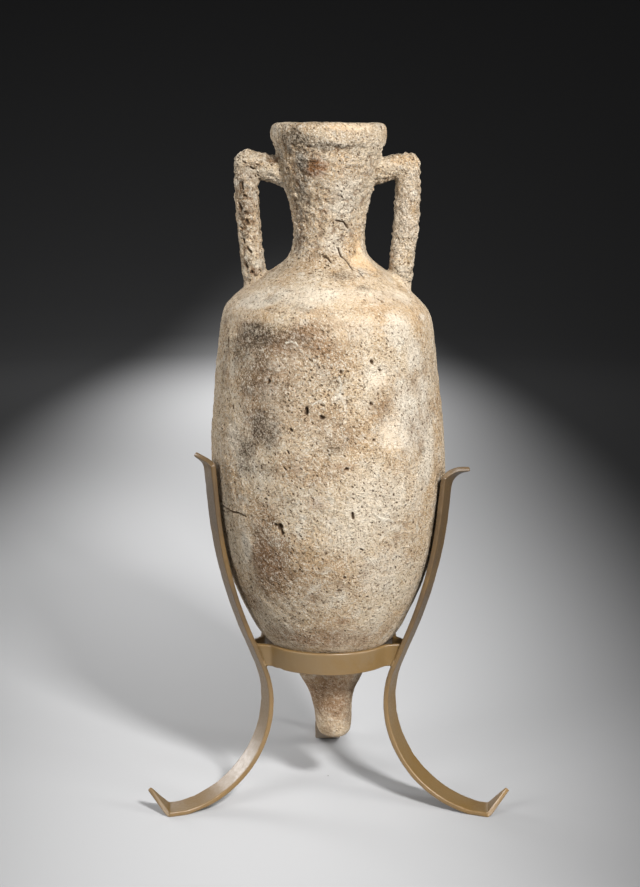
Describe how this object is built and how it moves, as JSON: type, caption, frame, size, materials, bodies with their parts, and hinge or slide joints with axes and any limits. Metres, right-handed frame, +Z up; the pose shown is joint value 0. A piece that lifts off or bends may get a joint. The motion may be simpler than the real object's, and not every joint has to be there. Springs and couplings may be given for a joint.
{
  "type": "roman amphora on a tripod stand",
  "caption": "Tall hollow terracotta wine amphora with a collared rim, upright handles and a solid spike, held in a bent flat-bar tripod stand.",
  "frame": {"origin": "on the floor under the middle of the whole footprint of the stand", "axes": "+Z up along the axis of the vessel, -Y to the front of the stand, +X to the right"},
  "size_m": [0.5278, 0.4446, 0.9891],
  "materials": {
    "encrusted_terracotta": "fired clay, cream and ochre, coarse with pits and a sea crust, fully matt",
    "painted_bar": "flat steel bar with satin taupe brown paint, hammered edges and small nicks"
  },
  "bodies": {
    "root": {"amphora": "encrusted_terracotta", "leg_front_left": "painted_bar", "leg_front_right": "painted_bar", "leg_back": "painted_bar", "ring_bar_front": "painted_bar", "ring_bar_right": "painted_bar", "ring_bar_left": "painted_bar"}
  },
  "joints": []
}
